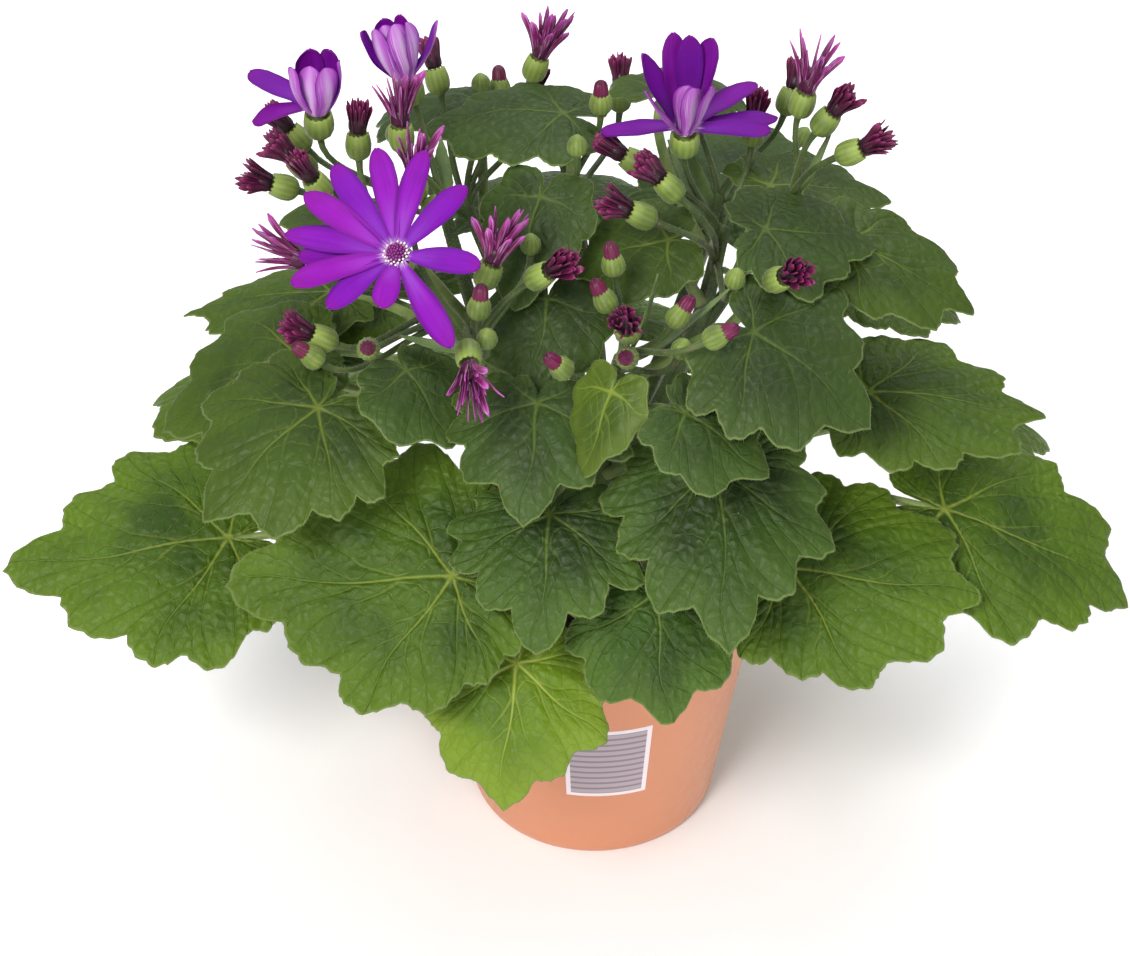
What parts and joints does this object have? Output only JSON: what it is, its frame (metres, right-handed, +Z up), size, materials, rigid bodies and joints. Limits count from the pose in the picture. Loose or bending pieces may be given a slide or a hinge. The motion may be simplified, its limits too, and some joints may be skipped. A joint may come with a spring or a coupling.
{
  "type": "florist cineraria in a nursery pot",
  "caption": "Potted florist cineraria: lobed, wavy-edged leaves in tiers, green flower cups with purple petals and magenta tufts, in a tapered terracotta-orange plastic pot with a pale label.",
  "frame": {"origin": "middle of the pot's flat base, on the surface it stands on", "axes": "+Z up along the pot's axis, +X to the plant's right and -Y towards the front seen in the reference view"},
  "size_m": [0.378, 0.2642, 0.2984],
  "materials": {
    "pot": "satin",
    "soil": "matte",
    "stem": "satin",
    "leaf_dark": "satin",
    "leaf_mid": "satin",
    "leaf_light": "satin",
    "petal": "satin",
    "tuft": "satin"
  },
  "bodies": {
    "root": {"pot": "pot", "soil": "soil", "stems": "stem", "leaf_low_01": "leaf_mid", "leaf_low_02": "leaf_mid", "leaf_low_03": "leaf_light", "leaf_low_04": "leaf_dark", "leaf_low_05": "leaf_mid", "leaf_low_06": "leaf_mid", "leaf_low_07": "leaf_mid", "leaf_low_08": "leaf_light", "leaf_low_09": "leaf_mid", "leaf_low_10": "leaf_light", "leaf_low_11": "leaf_mid", "leaf_mid_01": "leaf_mid", "leaf_mid_02": "leaf_mid", "leaf_mid_03": "leaf_dark", "leaf_mid_04": "leaf_dark", "leaf_mid_05": "leaf_mid", "leaf_mid_06": "leaf_mid", "leaf_mid_07": "leaf_dark", "leaf_mid_08": "leaf_dark", "leaf_mid_09": "leaf_mid", "leaf_top_01": "leaf_dark", "leaf_top_02": "leaf_dark", "leaf_top_03": "leaf_mid", "leaf_top_04": "leaf_mid", "leaf_top_05": "leaf_dark", "leaf_top_06": "leaf_light", "leaf_top_07": "leaf_dark", "leaf_top_08": "leaf_dark", "leaf_top_09": "leaf_dark", "leaf_top_10": "leaf_mid", "leaf_top_11": "leaf_dark", "leaf_top_12": "leaf_dark", "leaf_top_13": "leaf_mid", "leaf_top_14": "leaf_dark", "leaf_top_15": "leaf_mid", "leaf_top_16": "leaf_mid", "bloom_front": "petal", "bloom_right": "petal", "bloom_left": "petal", "bloom_rear": "petal", "tuft_01": "tuft", "tuft_02": "tuft", "tuft_03": "tuft", "tuft_04": "tuft", "tuft_05": "tuft", "tuft_06": "tuft", "tuft_07": "tuft", "tuft_08": "tuft", "tuft_09": "tuft", "tuft_10": "tuft", "tuft_11": "tuft", "tuft_12": "tuft", "tuft_13": "tuft", "tuft_14": "tuft", "tuft_15": "tuft", "tuft_16": "tuft", "tuft_17": "tuft"}
  },
  "joints": []
}
